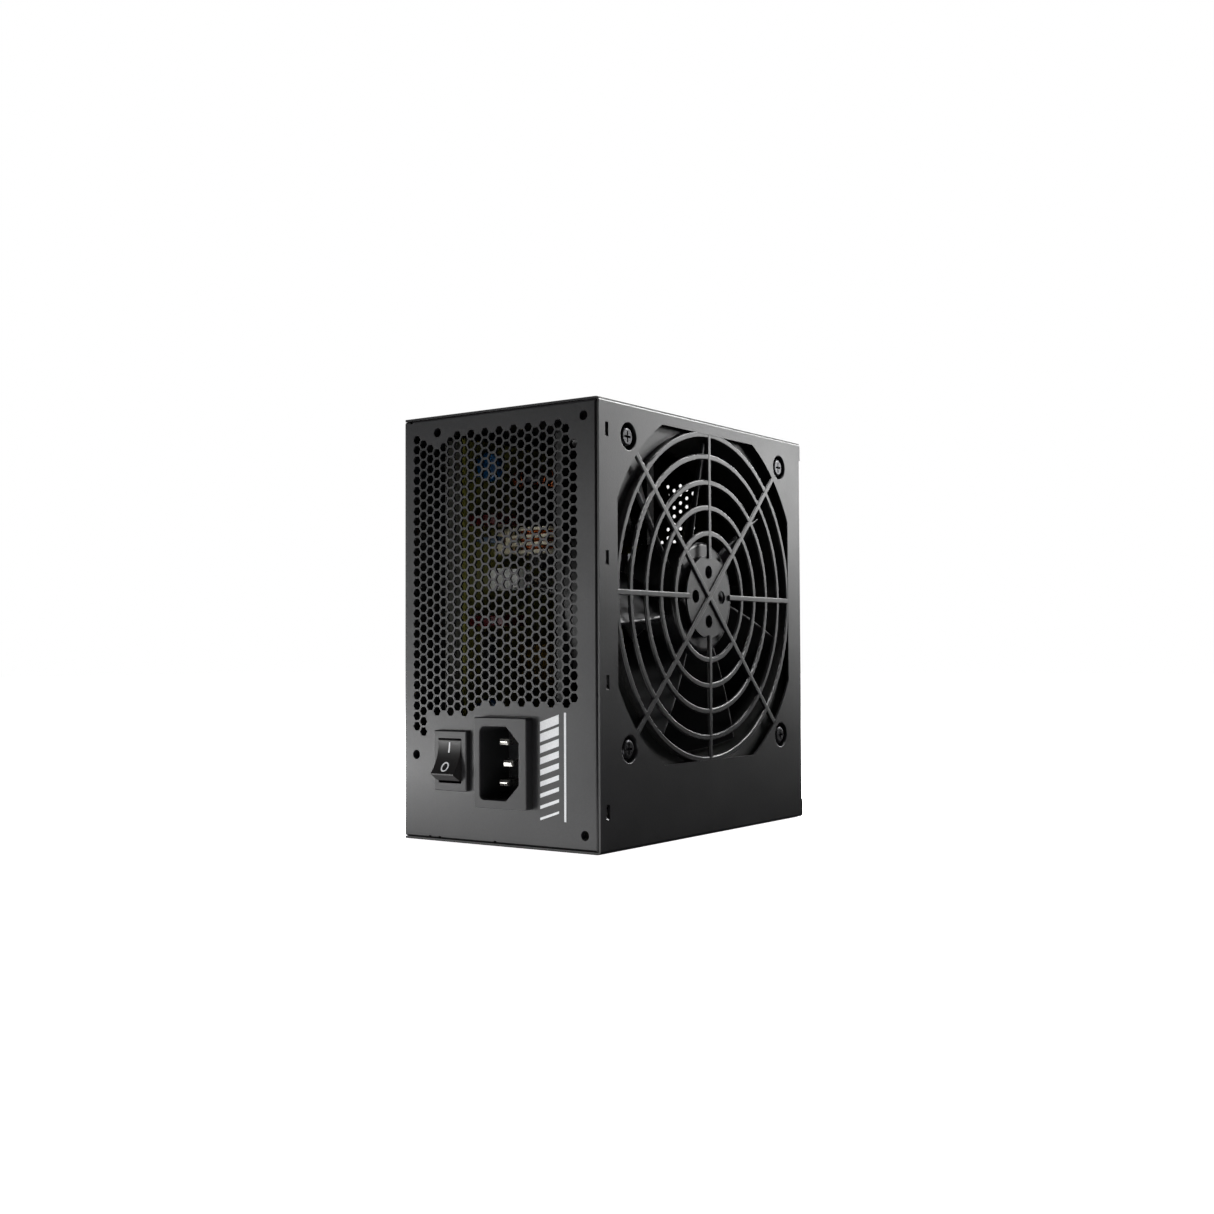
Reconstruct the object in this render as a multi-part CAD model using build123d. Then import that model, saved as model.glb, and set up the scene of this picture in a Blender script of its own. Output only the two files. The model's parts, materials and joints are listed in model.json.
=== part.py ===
from build123d import *
import math
import os

# ATX power supply unit, standing on its 140 mm side wall.
# X is the 86 mm thickness (fan face at +X), Y the 140 mm depth (mains panel at -Y),
# Z the 150 mm height.  The origin is the centre of the face that it stands on.  Millimetres.

# Case
HALF_X = 43.0
HALF_Y = 70.0
HEIGHT = 150.0
SHEET = 0.8
LAP = 0.2
BEND = 1.2
FLANGE = 7.5

# Face planes worked out from the case
PANEL_IN = -HALF_Y + SHEET
WALL_IN = HALF_Y - SHEET
FLOOR_IN = -HALF_X + SHEET
COVER_IN = HALF_X - SHEET
BASE_X = COVER_IN - LAP
BASE_LOW = SHEET + LAP
BASE_TOP = HEIGHT - BASE_LOW

# Hexagonal vent: flats across, row pitch and column pitch
HEX_FLATS = 2.95
HEX_ROW = 3.65
HEX_COLUMN = HEX_ROW * math.cos(math.radians(30))
VENT_X = -36.8
VENT_TOP = 142.2
VENT_COLUMNS = 23
WALL_VENT_X = -35.4
WALL_VENT_Z = 102.0
WALL_VENT_COLUMNS = 10
WALL_VENT_ROWS = 10

# Fixing holes in the mains panel, as (x, z)
PANEL_HOLE_R = 1.65
PANEL_HOLES = [(37.0, 6.0), (37.0, 144.0), (-27.0, 144.0), (-37.0, 30.0)]

# Fan
FAN_Z = 86.0
FAN_HALF = 60.0
FAN_BACK = 17.0
FAN_DEPTH = 25.0
FAN_FRONT = FAN_BACK + FAN_DEPTH
FAN_BORE = 58.0
FAN_SCREW = 52.5
FAN_BLADES = 7
HUB_R = 20.3
BLADE_R = 56.8
BLADE_TURN = -8.5
SHAFT_R = 1.5
PAD_X = FAN_FRONT - 2.0

# Stamped grille
RING_RADII = [23.05, 32.35, 41.6, 51.05, 59.0]
BAR_WIDTH = 2.1
BAR_ROUND = 0.4
BAR_BACK = COVER_IN - 0.15
DISC_R = 15.0
DISC_FRONT = HALF_X - 0.75
OPENING_HALF = 59.2
OPENING_R = 67.0

# Lanced latches of the cover, beside the mains panel
LATCH_Y = -65.2
LATCH_Z = [13.5, 56.0, 97.0, 139.5]

# Cover screws, two on each side wall
COVER_SCREW_X = -38.2
COVER_SCREW_Y = 50.0

# Mains inlet
INLET_Z = 28.5
INLET_FACE = -HALF_Y - 3.5
CAVITY = (-4.9, 11.9, 16.1, 40.9)
PIN_STEP = 7.0
PIN_ROOT_Y = -55.0
TAB_END_Y = -44.0

# Rocker switch
SWITCH_X = -19.7
SWITCH_Z = 28.5
SWITCH_FACE = -HALF_Y - 1.9
PIVOT_Y = SWITCH_FACE + 1.85
ROCK = 20.0
ROCKER_END = (-4.4, 6.4)
ROCKER_DISH = 1.3
SEESAW_Y = PIVOT_Y + 8.95
SEESAW_TIP = 6.0

# Circuit board
BOARD_TOP = -33.0
BOARD_THICK = 1.6
BOARD_Y = (-48.0, 64.0)
BOARD_Z = (5.0, 145.0)
STANDOFFS = [(y, z) for y in (-36.0, 58.0) for z in (11.0, 139.0)]

# Parts on the board: the fan plug, the line filter and the two toroids
PLUG_Y = -30.0
PLUG_Z = 93.6
PLUG_TOP = -19.7
FILTER_X = -17.5
FILTER_Y = -23.0
FILTER_Z = (103.6, 106.4, 109.2, 112.0)
CHOKE = (-22.2, -19.5, 132.0)
OUTPUT_CHOKE = (-18.7, 8.0, 19.0)

# Earth stud and cable outlet
STUD = (-59.0, 30.0)
OUTLET_X = -8.0
OUTLET_Z = 34.0
OUTLET_R = 13.0
LEAD_R = 1.2


def block(x0, x1, y0, y1, z0, z1):
    """Box between two corners."""
    centre = ((x0 + x1) / 2, (y0 + y1) / 2, (z0 + z1) / 2)
    return Pos(*centre) * Box(x1 - x0, y1 - y0, z1 - z0)


def rod_x(radius, x0, x1, y, z):
    """Round bar along X."""
    return Pos((x0 + x1) / 2, y, z) * Rot(0, 90, 0) * Cylinder(radius, x1 - x0)


def rod_y(radius, y0, y1, x, z):
    """Round bar along Y."""
    return Pos(x, (y0 + y1) / 2, z) * Rot(90, 0, 0) * Cylinder(radius, y1 - y0)


def rod_z(radius, z0, z1, x, y):
    """Round bar along Z."""
    return Pos(x, y, (z0 + z1) / 2) * Cylinder(radius, z1 - z0)


def on_fan(shape):
    """Place a shape made about the X axis on the fan's axis."""
    return Pos(0, 0, FAN_Z) * shape


def turned_x(profile):
    """Revolve an (x, radius) profile, drawn on the XY plane, about the X axis."""
    return revolve(profile, Axis.X)


def edges_at(shape, axis, **place):
    """Straight edges along an axis whose centre has the given coordinates."""
    found = shape.edges().filter_by(axis)
    for name, value in place.items():
        found = found.filter_by(lambda e, n=name, v=value: abs(getattr(e.center(), n) - v) < 0.01)
    return found


def fused(shapes):
    """Fuse a list of shapes into one."""
    return shapes[0].fuse(*shapes[1:]).clean()


# ---------------------------------------------------------------- case

def vent_centres():
    """Centres of the panel's hexagons, as (x, z), in columns half a row apart."""
    centres = []
    for column in range(VENT_COLUMNS):
        x = VENT_X + column * HEX_COLUMN
        low = 37.0 if column < 2 else 44.0 if column < 9 else 48.0
        z = VENT_TOP - (column % 2) * HEX_ROW / 2
        while z > low:
            clear_left = math.dist((x, z), PANEL_HOLES[2]) > 5.0
            clear_right = math.dist((x, z), PANEL_HOLES[1]) > 8.0
            if clear_left and clear_right:
                centres.append((x, z))
            z -= HEX_ROW
    return centres


def hexagons(centres, y):
    """Hexagonal cutters along Y through a wall at y."""
    plane = Plane((0, y, 0), x_dir=(1, 0, 0), z_dir=(0, -1, 0))
    cell = extrude(plane * RegularPolygon(HEX_FLATS / 2, 6, major_radius=False), SHEET, both=True)
    return [Pos(x, 0, z) * cell.solid() for x, z in centres]


def wall_vent_centres():
    """Smaller field of hexagons in the cable wall, level with the top half of the fan."""
    centres = []
    for column in range(WALL_VENT_COLUMNS):
        for row in range(WALL_VENT_ROWS):
            z = WALL_VENT_Z + (row + (column % 2) / 2) * HEX_ROW
            centres.append((WALL_VENT_X + column * HEX_COLUMN, z))
    return centres


def screw_collar(x, z):
    """Drawn collar behind a tapped hole in the mains panel."""
    return rod_y(PANEL_HOLE_R + 0.9, PANEL_IN, PANEL_IN + 1.2, x, z)


def base_shell():
    """Folded steel base: mains panel, large face, cable wall and their inward flanges."""
    outer = block(-HALF_X, BASE_X, -HALF_Y, HALF_Y, BASE_LOW, BASE_TOP)
    inner = block(FLOOR_IN, HALF_X, PANEL_IN, WALL_IN, 0, HEIGHT)
    shell = outer - inner
    shell = fillet(edges_at(shell, Axis.Z, X=-HALF_X), BEND)
    shell = fillet(edges_at(shell, Axis.Z, X=FLOOR_IN), BEND - SHEET)
    pieces = [shell]
    for z0, z1 in ((BASE_LOW, BASE_LOW + SHEET), (BASE_TOP - SHEET, BASE_TOP)):
        pieces.append(block(-40.5, BASE_X - 1, PANEL_IN, PANEL_IN + FLANGE, z0, z1))
        pieces.append(block(-40.5, BASE_X - 1, WALL_IN - FLANGE, WALL_IN, z0, z1))
        pieces.append(block(FLOOR_IN, FLOOR_IN + 9, -58, 58, z0, z1))
    for y0, y1 in ((PANEL_IN, PANEL_IN + FLANGE), (WALL_IN - FLANGE, WALL_IN)):
        pieces.append(block(BASE_X - SHEET, BASE_X, y0, y1, 8, HEIGHT - 8))
    for y in (-COVER_SCREW_Y, COVER_SCREW_Y):
        pieces.append(rod_z(2.6, BASE_LOW + SHEET, 3.4, COVER_SCREW_X, y))
        pieces.append(rod_z(2.6, HEIGHT - 3.4, BASE_TOP - SHEET, COVER_SCREW_X, y))
    pieces += [screw_collar(x, z) for x, z in PANEL_HOLES]
    shell = fused(pieces)
    bends = edges_at(shell, Axis.X, Y=-HALF_Y) + edges_at(shell, Axis.X, Y=HALF_Y)
    bends += edges_at(shell, Axis.Z, X=BASE_X, Y=-HALF_Y) + edges_at(shell, Axis.Z, X=BASE_X, Y=HALF_Y)
    shell = fillet(bends, 0.6)
    for x, z in PANEL_HOLES:
        shell -= rod_y(PANEL_HOLE_R, -HALF_Y - 1, PANEL_IN + 3, x, z)
    for x in (-30.5, -26.0, -1.0):
        shell -= block(x - 0.6, x + 0.6, -HALF_Y - 1, PANEL_IN + 1, 0, BASE_LOW + SHEET)
    shell -= block(-40.1, -38.9, -HALF_Y - 1, PANEL_IN + 1, BASE_TOP - SHEET, HEIGHT)
    for z in LATCH_Z:
        shell -= block(BASE_X - 2, BASE_X + 1, LATCH_Y - 2, LATCH_Y + 2, z - 4, z + 3.5)
    for y in (-COVER_SCREW_Y, COVER_SCREW_Y):
        shell -= screw_cone(y, 0.06) + screw_cone(y, 0.06, top=True)
    shell -= inlet_body(0.1)
    shell -= switch_body(0.1)
    shell -= rod_y(OUTLET_R + 2.3, WALL_IN - 1, HALF_Y + 1, OUTLET_X, OUTLET_Z)
    cells = hexagons(vent_centres(), -HALF_Y + SHEET / 2)
    cells += hexagons(wall_vent_centres(), HALF_Y - SHEET / 2)
    return shell.cut(*cells)


def bar_profile(radius, crest):
    """Section of a grille bar in (x, radius), with rounded front edges."""
    middle = ((crest + BAR_BACK) / 2, radius)
    section = Pos(*middle) * Rectangle(crest - BAR_BACK, BAR_WIDTH)
    return fillet(section.vertices().group_by(Axis.X)[-1], BAR_ROUND)


def spoke(angle, start, end, crest):
    """Grille bar from one radius to another, at an angle about the fan's axis."""
    bar = Pos(0, 0, start) * extrude(bar_profile(0, crest), amount=end - start)
    return Rot(angle, 0, 0) * bar


def grille():
    """Rings, spokes and hub disc, about the X axis."""
    crest = HALF_X - 0.1
    pieces = [Rot(0, 90, 0) * Pos(0, 0, DISC_FRONT - SHEET / 2) * Cylinder(DISC_R, SHEET)]
    pieces += [turned_x(bar_profile(r, crest)) for r in RING_RADII]
    pieces += [spoke(a, DISC_R - 1, RING_RADII[-1] + 0.6, crest + 0.06) for a in (0, 90, 180, 270)]
    pieces.append(spoke(45, -OPENING_R - 1.5, OPENING_R + 1.5, crest + 0.04))
    pieces.append(spoke(-45, -OPENING_R - 1.5, OPENING_R + 1.5, crest + 0.08))
    shape = fused(pieces)
    for y, z in ((9, 0), (-9, 0), (0, 9), (0, -9)):
        shape -= rod_x(2.4, HALF_X - 3, HALF_X + 1, y, z)
    return shape


def fan_opening():
    """Cutter of the fan opening: a square with arcs across its corners."""
    square = block(COVER_IN - 2, HALF_X + 2, -OPENING_HALF, OPENING_HALF, -OPENING_HALF, OPENING_HALF)
    return square & rod_x(OPENING_R, COVER_IN - 2, HALF_X + 2, 0, 0)


def fan_corners():
    """The four fan screw positions, as (y, z)."""
    return [(y, FAN_Z + z) for y in (-FAN_SCREW, FAN_SCREW) for z in (-FAN_SCREW, FAN_SCREW)]


def latch(z):
    """Tongue pressed in at the lower end of a latch slot."""
    outline = Polyline((HALF_X, z - 2.5), (HALF_X - 1.3, z - 0.7), (HALF_X - 1.9, z - 1.1),
                       (COVER_IN, z - 2.9), close=True)
    plane = Plane((0, LATCH_Y + 0.9, 0), x_dir=(1, 0, 0), z_dir=(0, -1, 0))
    return extrude(plane * make_face(outline), amount=1.8)


def fan_cover():
    """Folded steel cover: fan face with its stamped grille, and the two side walls."""
    outer = block(-HALF_X + 0.4, HALF_X, -HALF_Y + 0.35, HALF_Y, 0, HEIGHT)
    inner = block(-HALF_X - 1, COVER_IN, -HALF_Y - 1, HALF_Y + 1, SHEET, HEIGHT - SHEET)
    cover = outer - inner
    cover = fillet(edges_at(cover, Axis.Y, X=HALF_X), BEND)
    cover = fillet(edges_at(cover, Axis.Y, X=COVER_IN), BEND - SHEET)
    cover -= block(COVER_IN - 1, HALF_X + 1, HALF_Y - 0.8, HALF_Y + 1, 7, HEIGHT - 7)
    cover -= on_fan(fan_opening())
    floor = PAD_X + SHEET
    cups = [rod_x(5.3, PAD_X, COVER_IN + 0.3, y, z) for y, z in fan_corners()]
    cover = fused([cover] + cups)
    for y, z in fan_corners():
        cover -= rod_x(4.6, floor, HALF_X + 1, y, z)
    rims = cover.edges().filter_by(GeomType.CIRCLE)
    rims = rims.filter_by(lambda e: abs(e.radius - 4.6) < 0.01 and abs(e.center().X - HALF_X) < 0.01)
    cover = fillet(rims, 0.3)
    for y, z in fan_corners():
        cover -= rod_x(2.3, PAD_X - 1, floor + 1, y, z)
    for z in LATCH_Z:
        cover -= block(COVER_IN - 1, HALF_X + 1, LATCH_Y - 0.9, LATCH_Y + 0.9, z - 2.5, z + 2.5)
    for y in (-COVER_SCREW_Y, COVER_SCREW_Y):
        cover -= screw_cone(y, 0.06) + screw_cone(y, 0.06, top=True)
    return fused([cover, on_fan(grille())] + [latch(z) for z in LATCH_Z])


def screw_cone(y, gap, top=False):
    """Countersunk screw of the cover with a gap all round, for the screw or for its hole."""
    head = Cone(2.8 + gap, 1.5 + gap, 1.3, align=(Align.CENTER, Align.CENTER, Align.MIN))
    rim = Pos(0, 0, -1) * Cylinder(2.8 + gap, 1.0, align=(Align.CENTER, Align.CENTER, Align.MIN))
    shank = Cylinder(1.5 + gap, 5.5, align=(Align.CENTER, Align.CENTER, Align.MIN))
    screw = head + shank
    if gap:
        screw += rim
    screw = Pos(COVER_SCREW_X, y, 0.05) * screw
    return mirror(screw, Plane((0, 0, HEIGHT / 2))) if top else screw


def cross(depth, half, width):
    """Cross recess cutter along -Z from z = 0."""
    bar = Pos(0, 0, -depth / 2) * Box(2 * half, width, depth)
    return bar + Rot(0, 0, 90) * bar


def cover_screws():
    """Four countersunk screws that hold the cover to the base."""
    screws = []
    for y in (-COVER_SCREW_Y, COVER_SCREW_Y):
        for top in (False, True):
            recess = Pos(COVER_SCREW_X, y, HEIGHT - 0.04) * cross(0.9, 1.6, 0.6)
            if not top:
                recess = mirror(recess, Plane((0, 0, HEIGHT / 2)))
            screws.append(screw_cone(y, 0, top) - recess)
    return screws


# ---------------------------------------------------------------- fan

def fan_screws():
    """Four pan-head screws, seated in the cover's recesses, that cut into the fan frame."""
    seat = PAD_X + SHEET
    screws = []
    for y, z in fan_corners():
        head = fillet(rod_x(3.3, seat, seat + 1.8, 0, 0).edges().group_by(Axis.X)[-1], 0.9)
        screw = head + rod_x(2.1, seat - 9, seat, 0, 0)
        screw -= Pos(seat + 1.8, 0, 0) * Rot(0, 90, 0) * cross(1.1, 1.9, 0.75)
        screws.append(Pos(0, y, z) * screw)
    return screws


def fan_frame():
    """Moulded fan housing: duct ring, corner flanges, motor mount and struts."""
    plate = block(0, 4, -FAN_HALF, FAN_HALF, -FAN_HALF, FAN_HALF)
    plate = fillet(plate.edges().filter_by(Axis.X), 5)
    ring = rod_x(FAN_HALF, FAN_BACK, FAN_FRONT, 0, 0)
    frame = fused([Pos(FAN_BACK, 0, 0) * plate, Pos(PAD_X - 4, 0, 0) * plate, ring])
    frame -= rod_x(FAN_BORE, FAN_BACK - 1, FAN_FRONT + 1, 0, 0)
    strut = block(FAN_BACK, FAN_BACK + 3, HUB_R - 2, FAN_BORE + 1, -2.4, 2.4)
    struts = [Rot(a, 0, 0) * strut for a in (0, 90, 180, 270)]
    mount = rod_x(HUB_R, FAN_BACK, FAN_BACK + 2.4, 0, 0)
    tube = rod_x(4.4, FAN_BACK + 2, FAN_BACK + 18, 0, 0)
    frame = fused([frame, mount, tube] + struts)
    frame -= rod_x(3.0, FAN_BACK + 1.6, FAN_FRONT, 0, 0)
    for y, z in fan_corners():
        frame -= rod_x(2.15, FAN_BACK - 1, FAN_FRONT, y, z - FAN_Z)
    for radius in (24.0, 35.0):
        clip = block(FAN_BACK - 3.6, FAN_BACK, -radius - 1.5, -radius + 1.5, -2.4, 2.4)
        frame = frame + clip - rod_y(1.35, -radius - 2, -radius + 2, FAN_BACK - 1.25, 0)
    return on_fan(frame)


def blade():
    """One fan blade, trimmed by the hub and by the duct."""
    sections = []
    for radius, chord, pitch, lift in ((HUB_R - 3, 17.0, 46.0, 0.0), (38.0, 27.0, 35.0, 4.0),
                                       (BLADE_R + 2.5, 37.0, 27.0, 10.0)):
        plane = Plane((30.3, lift, radius), x_dir=(0, 1, 0), z_dir=(0, 0, 1))
        sections.append(plane * Rot(0, 0, pitch) * SlotOverall(chord, 1.7))
    trim = rod_x(BLADE_R, 20, 41, 0, 0)
    return (loft(sections) & trim).solid()


def fan_impeller():
    """Hub cup with seven blades."""
    front = FAN_FRONT - 1.9
    cup = rod_x(HUB_R, FAN_BACK + 3.6, front, 0, 0)
    cup = fillet(cup.edges().group_by(Axis.X)[-1], 1.6)
    blades = [Rot(360 / FAN_BLADES * i + BLADE_TURN, 0, 0) * blade() for i in range(FAN_BLADES)]
    rotor = fused([cup] + blades)
    rotor -= rod_x(HUB_R - 1.4, FAN_BACK, front - 1.5, 0, 0)
    rotor += rod_x(3.4, front - 4.0, front - 1.5, 0, 0)
    rotor -= rod_x(SHAFT_R, FAN_BACK, front - 1.2, 0, 0)
    return on_fan(rotor)


def fan_shaft():
    """Steel shaft, pressed into the impeller and running in the bearing."""
    return rod_x(SHAFT_R, FAN_BACK + 2.2, FAN_FRONT - 3.1, 0, FAN_Z)


def fan_bearing():
    """Sintered sleeve bearing in the frame's centre tube."""
    sleeve = rod_x(2.95, FAN_BACK + 2.4, FAN_BACK + 17.6, 0, FAN_Z)
    return sleeve - rod_x(SHAFT_R + 0.04, FAN_BACK, FAN_FRONT, 0, FAN_Z)


def fan_magnet_ring():
    """Ring magnet inside the hub cup."""
    ring = rod_x(HUB_R - 1.45, FAN_BACK + 5, FAN_FRONT - 6, 0, FAN_Z)
    return ring - rod_x(HUB_R - 3.6, FAN_BACK, FAN_FRONT, 0, FAN_Z)


def fan_stator():
    """Laminated stator with four poles on the centre tube."""
    core = rod_x(7.0, FAN_BACK + 8, FAN_BACK + 14, 0, 0)
    rim = rod_x(15.8, FAN_BACK + 8, FAN_BACK + 14, 0, 0) - rod_x(13.6, FAN_BACK, FAN_FRONT, 0, 0)
    arms = []
    for angle in (45, 135, 225, 315):
        arm = block(FAN_BACK + 8, FAN_BACK + 14, 5, 14.5, -1.8, 1.8)
        wedge = block(FAN_BACK + 7, FAN_BACK + 15, 4, 17, -8, 8)
        arms.append(Rot(angle, 0, 0) * (arm + (rim & wedge)))
    stator = fused([core] + arms)
    return on_fan(stator - rod_x(4.45, FAN_BACK, FAN_FRONT, 0, 0))


def fan_coils():
    """One copper coil round each stator pole."""
    coils = []
    for angle in (45, 135, 225, 315):
        coil = block(FAN_BACK + 6.6, FAN_BACK + 15.4, 8.2, 13.0, -3.4, 3.4)
        coil = fillet(coil.edges().filter_by(Axis.Y), 1.2)
        coil -= block(FAN_BACK + 7.95, FAN_BACK + 14.05, 5, 15, -1.85, 1.85)
        coils.append(on_fan(Rot(angle, 0, 0) * coil))
    return coils


def fan_motor_board():
    """Round driver board under the stator, with its Hall sensor chip."""
    board = rod_x(17.5, FAN_BACK + 3.7, FAN_BACK + 4.9, 0, FAN_Z)
    board -= rod_x(4.6, FAN_BACK, FAN_FRONT, 0, FAN_Z)
    return board + block(FAN_BACK + 4.9, FAN_BACK + 6.2, 9, 13, FAN_Z - 2, FAN_Z + 2)


def lead(points, radius=LEAD_R):
    """Insulated lead through points, with an arc at each corner as large as its runs allow."""
    vectors = [Vector(*p) for p in points]
    runs = [b - a for a, b in zip(vectors, vectors[1:])]
    radii = []
    for before, after in zip(runs, runs[1:]):
        turn = math.radians(before.get_angle(after))
        radii.append(0.45 * min(before.length, after.length) / math.tan(turn / 2))
    path = FilletPolyline(*points, radius=radii)
    start = Plane(vectors[0], z_dir=runs[0])
    return sweep(start * Circle(radius), path=path)


def fan_lead():
    """Twin lead of the fan, clipped along a strut and down to its plug."""
    x = FAN_BACK - 1.25
    return lead([(x, -17, FAN_Z), (x, -49, FAN_Z), (-2, -49, 90), (-8, PLUG_Y, PLUG_Z),
                 (PLUG_TOP, PLUG_Y, PLUG_Z)], 1.15)


def fan_plug():
    """White two-pin plug in its header on the board."""
    header = block(BOARD_TOP, -26.5, PLUG_Y - 4.2, PLUG_Y + 4.2, PLUG_Z - 4, PLUG_Z + 4)
    plug = block(-26.5, PLUG_TOP, PLUG_Y - 3.4, PLUG_Y + 3.4, PLUG_Z - 3.4, PLUG_Z + 3.4)
    return header + plug


# ---------------------------------------------------------------- mains inlet

def inlet_outline(x0, x1, z0, z1, chamfer_size, depth, y):
    """Rectangular prism along Y with its two fan-side corners cut at 45 degrees."""
    prism = block(x0, x1, y, y + depth, z0, z1)
    return chamfer(edges_at(prism, Axis.Y, X=x1), chamfer_size)


def inlet_body(gap):
    """Body of the inlet behind the panel, grown by a gap for its cut-out."""
    x0, x1, z0, z1 = CAVITY
    wall = 1.3 + gap
    return inlet_outline(x0 - wall, x1 + wall, z0 - wall, z1 + wall, 5.6, 18.5, -HALF_Y)


def inlet_pins():
    """Places of the three pins: x, z and the y of the tip."""
    x0, x1, z0, z1 = CAVITY
    x = (x0 + x1) / 2
    z = (z0 + z1) / 2
    live = (x - 2, z + PIN_STEP, -68.5)
    neutral = (x - 2, z - PIN_STEP, -68.5)
    earth = (x + 2, z, -71.3)
    return live, neutral, earth


def pin(place):
    """Inlet blade with a rounded tip and a solder tab behind."""
    x, z, tip = place
    blade_part = block(x - 2, x + 2, tip, PIN_ROOT_Y, z - 1, z + 1)
    blade_part = chamfer(blade_part.edges().group_by(Axis.Y)[0], 0.8, 0.45)
    return blade_part + block(x - 2.4, x + 2.4, PIN_ROOT_Y, TAB_END_Y, z - 0.4, z + 0.4)


def inlet_housing():
    """Moulded mains inlet: front flange, shroud, back wall and snap wedges."""
    x0, x1, z0, z1 = CAVITY
    flange = block(-7.5, 15.3, INLET_FACE, -HALF_Y, 13.2, 44.0)
    flange = fillet(flange.edges().filter_by(Axis.Y), 0.8)
    flange = fillet(flange.edges().group_by(Axis.Y)[0], 0.35)
    housing = flange + inlet_body(0)
    cavity = inlet_outline(x0, x1, z0, z1, 5.3, 16.0, INLET_FACE)
    cavity = fillet(edges_at(cavity, Axis.Y, X=x0), 1.8)
    housing -= cavity
    rim = housing.edges().group_by(Axis.Y)[0].filter_by(lambda e: x0 - 0.1 < e.center().X < x1 + 0.1)
    housing = chamfer(rim.filter_by(lambda e: z0 - 0.1 < e.center().Z < z1 + 0.1), 0.25)
    for x, z, _ in inlet_pins():
        housing -= block(x - 2.05, x + 2.05, PIN_ROOT_Y - 5, PIN_ROOT_Y + 0.05, z - 1.05, z + 1.05)
        housing -= block(x - 2.45, x + 2.45, PIN_ROOT_Y - 0.05, PIN_ROOT_Y + 5, z - 0.45, z + 0.45)
    for x, side in ((x0 - 1.3, -1), (x1 + 1.3, 1)):
        wedge = Polyline((x, PANEL_IN + 0.1), (x + side * 0.8, PANEL_IN + 0.1), (x, PANEL_IN + 5),
                         close=True)
        housing += Pos(0, 0, INLET_Z - 4) * extrude(make_face(wedge), amount=8)
    return housing


def live_pin():
    """Upper pin of the inlet."""
    return pin(inlet_pins()[0])


def neutral_pin():
    """Lower pin of the inlet."""
    return pin(inlet_pins()[1])


def earth_pin():
    """Middle pin of the inlet, which reaches further forward."""
    return pin(inlet_pins()[2])


# ---------------------------------------------------------------- rocker switch

def switch_body(gap):
    """Body of the switch behind the panel, grown by a gap for its cut-out."""
    x, z = 6.5 + gap, 9.5 + gap
    return block(SWITCH_X - x, SWITCH_X + x, -HALF_Y, -52.5, SWITCH_Z - z, SWITCH_Z + z)


def terminal_places():
    """The switch terminals as (z, y of the inner end): the seesaw's support, then the fixed contact."""
    return [(SWITCH_Z, SEESAW_Y + 0.3), (SWITCH_Z - 5.4, SEESAW_Y + 1.0)]


def switch_housing():
    """Switch case with a raised bezel, a well for the rocker and a closed back."""
    bezel = block(SWITCH_X - 7.5, SWITCH_X + 7.5, SWITCH_FACE, -HALF_Y, SWITCH_Z - 10.5, SWITCH_Z + 10.5)
    bezel = fillet(bezel.edges().filter_by(Axis.Y), 0.8)
    bezel = fillet(bezel.edges().group_by(Axis.Y)[0], 0.5)
    housing = bezel + switch_body(0)
    well = block(SWITCH_X - 5.25, SWITCH_X + 5.25, SWITCH_FACE - 1, -54.5, SWITCH_Z - 7.8, SWITCH_Z + 7.8)
    well = fillet(well.edges().filter_by(Axis.Y), 0.4)
    housing -= well
    housing -= rod_x(1.06, SWITCH_X - 6.1, SWITCH_X + 6.1, PIVOT_Y, SWITCH_Z)
    for z, _ in terminal_places():
        housing -= block(SWITCH_X - 2.45, SWITCH_X + 2.45, -55, -52, z - 0.45, z + 0.45)
    return housing


def at_rest(shape):
    """Turn a rocker piece, made level about its pivot, into the pressed-in position."""
    return Pos(SWITCH_X, PIVOT_Y, SWITCH_Z) * Rot(-ROCK, 0, 0) * shape


def switch_rocker():
    """Rocker with a dished face, two pivot stubs and the guide of the plunger."""
    y, z = ROCKER_END
    outline = Polyline((y, -z), (0, -7.3), (1.6, -6.9), (1.6, 6.9), (0, 7.3), (y, z))
    face = ThreePointArc((y, z), (y + ROCKER_DISH, 0), (y, -z))
    plane = Plane((-5.1, 0, 0), x_dir=(0, 1, 0), z_dir=(1, 0, 0))
    rocker = extrude(plane * make_face([outline, face]), amount=10.2)
    ends = rocker.edges().filter_by(Axis.X).filter_by(lambda e: e.center().Y < y + 0.1)
    rocker = fillet(ends, 0.5)
    rocker += rod_x(1.0, -6.0, 6.0, 0, 0)
    rocker += rod_y(2.3, 0, 5.0, 0, 0)
    rocker -= rod_y(1.3, -0.5, 6.0, 0, 0)
    return at_rest(rocker)


def switch_plunger():
    """Spring-loaded pin that tips the seesaw over."""
    tip = rod_y(1.2, 3.2, 8.0, 0, 0)
    return at_rest(fillet(tip.edges().group_by(Axis.Y)[-1], 1.0))


def switch_spring():
    """Coil spring behind the plunger."""
    coil = Helix(pitch=0.75, height=3.0, radius=0.85)
    wire = sweep(Plane(coil @ 0, z_dir=coil % 0) * Circle(0.18), path=coil, is_frenet=True)
    return at_rest(Pos(0, -0.1, 0) * Rot(-90, 0, 0) * wire)


def switch_contact():
    """Copper seesaw, tipped onto the fixed contact's side by the plunger."""
    plate = block(-2, 2, -0.6, 0, -6, 6)
    return Pos(SWITCH_X, SEESAW_Y, SWITCH_Z) * Rot(SEESAW_TIP, 0, 0) * plate


def switch_terminals():
    """The two brass terminals that leave the back of the switch."""
    return [block(SWITCH_X - 2.4, SWITCH_X + 2.4, y, TAB_END_Y, z - 0.4, z + 0.4)
            for z, y in terminal_places()]


# ---------------------------------------------------------------- wiring and earth

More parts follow.
